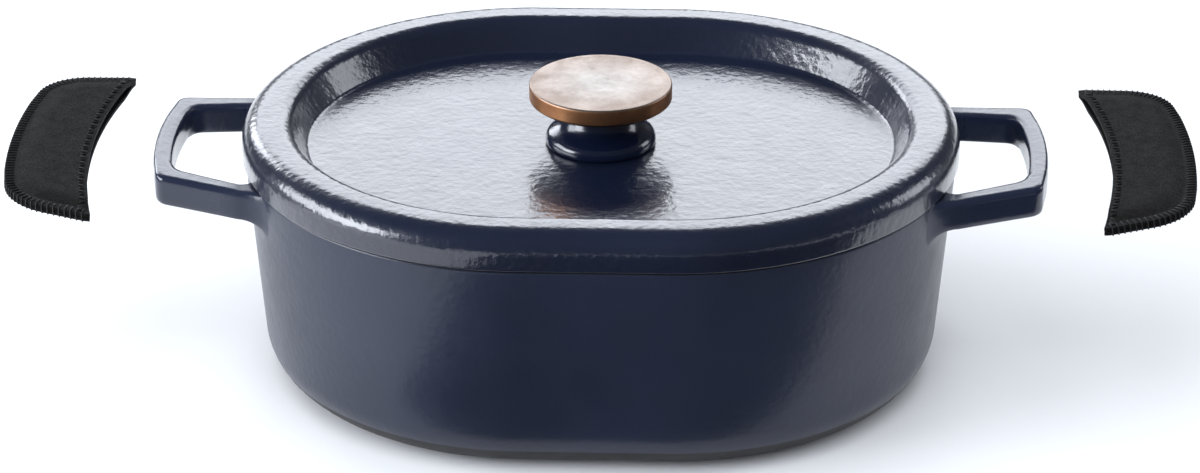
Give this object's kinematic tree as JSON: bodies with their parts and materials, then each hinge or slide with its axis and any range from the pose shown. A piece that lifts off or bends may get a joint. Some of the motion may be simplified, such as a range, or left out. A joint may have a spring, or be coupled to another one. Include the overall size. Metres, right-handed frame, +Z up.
{
  "type": "cast iron dutch oven",
  "caption": "Oval enamelled cast iron dutch oven with loop handles, a lid with a bronze disc knob, and slip-on leather handle covers.",
  "frame": {"origin": "middle of the flat base, on the surface that the pot stands on", "axes": "+X through the right handle, +Z up, -Y towards the viewer"},
  "size_m": [0.513, 0.2484, 0.1295],
  "materials": {
    "navy_enamel": "glossy dark navy enamel on cast iron",
    "satin_bronze": "brushed copper-bronze",
    "stainless_steel": "plain stainless steel",
    "seal": "matt black heat-proof ring",
    "black_leather": "black fine-grain leather",
    "black_thread": "black waxed thread"
  },
  "bodies": {
    "pot": {"pot_body": "navy_enamel"},
    "lid": {"lid": "navy_enamel", "knob_stem": "navy_enamel", "knob_disc": "satin_bronze", "knob_screw": "stainless_steel", "knob_washer": "stainless_steel", "knob_lock_washer": "stainless_steel", "knob_seal": "seal"},
    "left_cover": {"left_cover_edge_thread": "black_thread"},
    "left_cover_top": {"left_cover_top_panel": "black_leather", "left_cover_mouth_thread_top": "black_thread"},
    "left_cover_bottom": {"left_cover_bottom_panel": "black_leather", "left_cover_mouth_thread_bottom": "black_thread"},
    "right_cover": {"right_cover_edge_thread": "black_thread"},
    "right_cover_top": {"right_cover_top_panel": "black_leather", "right_cover_mouth_thread_top": "black_thread"},
    "right_cover_bottom": {"right_cover_bottom_panel": "black_leather", "right_cover_mouth_thread_bottom": "black_thread"}
  },
  "joints": [
    {"name": "lid_lift", "type": "slide", "parent": "pot", "child": "lid", "axis": [0, 0, 1], "range_m": [0, 0.12]},
    {"name": "left_cover_slide", "type": "slide", "parent": "pot", "child": "left_cover", "axis": [0.9988, 0, -0.048], "range_m": [0, 0.04806]},
    {"name": "left_cover_top_part", "type": "slide", "parent": "left_cover", "child": "left_cover_top", "axis": [0.0958, 0, 0.9954], "range_m": [0, 0.00962]},
    {"name": "left_cover_bottom_part", "type": "slide", "parent": "left_cover", "child": "left_cover_bottom", "axis": [-0.0958, 0, -0.9954], "range_m": [0, 0.00962]},
    {"name": "right_cover_slide", "type": "slide", "parent": "pot", "child": "right_cover", "axis": [-0.9988, 0, -0.048], "range_m": [0, 0.04806]},
    {"name": "right_cover_top_part", "type": "slide", "parent": "right_cover", "child": "right_cover_top", "axis": [-0.0958, 0, 0.9954], "range_m": [0, 0.00962]},
    {"name": "right_cover_bottom_part", "type": "slide", "parent": "right_cover", "child": "right_cover_bottom", "axis": [0.0958, 0, -0.9954], "range_m": [0, 0.00962]}
  ],
  "couplings": [
    {"joint": "left_cover_top_part", "follows": "left_cover_slide", "ratio": 0.2},
    {"joint": "left_cover_bottom_part", "follows": "left_cover_slide", "ratio": 0.2},
    {"joint": "right_cover_top_part", "follows": "right_cover_slide", "ratio": 0.2},
    {"joint": "right_cover_bottom_part", "follows": "right_cover_slide", "ratio": 0.2}
  ]
}
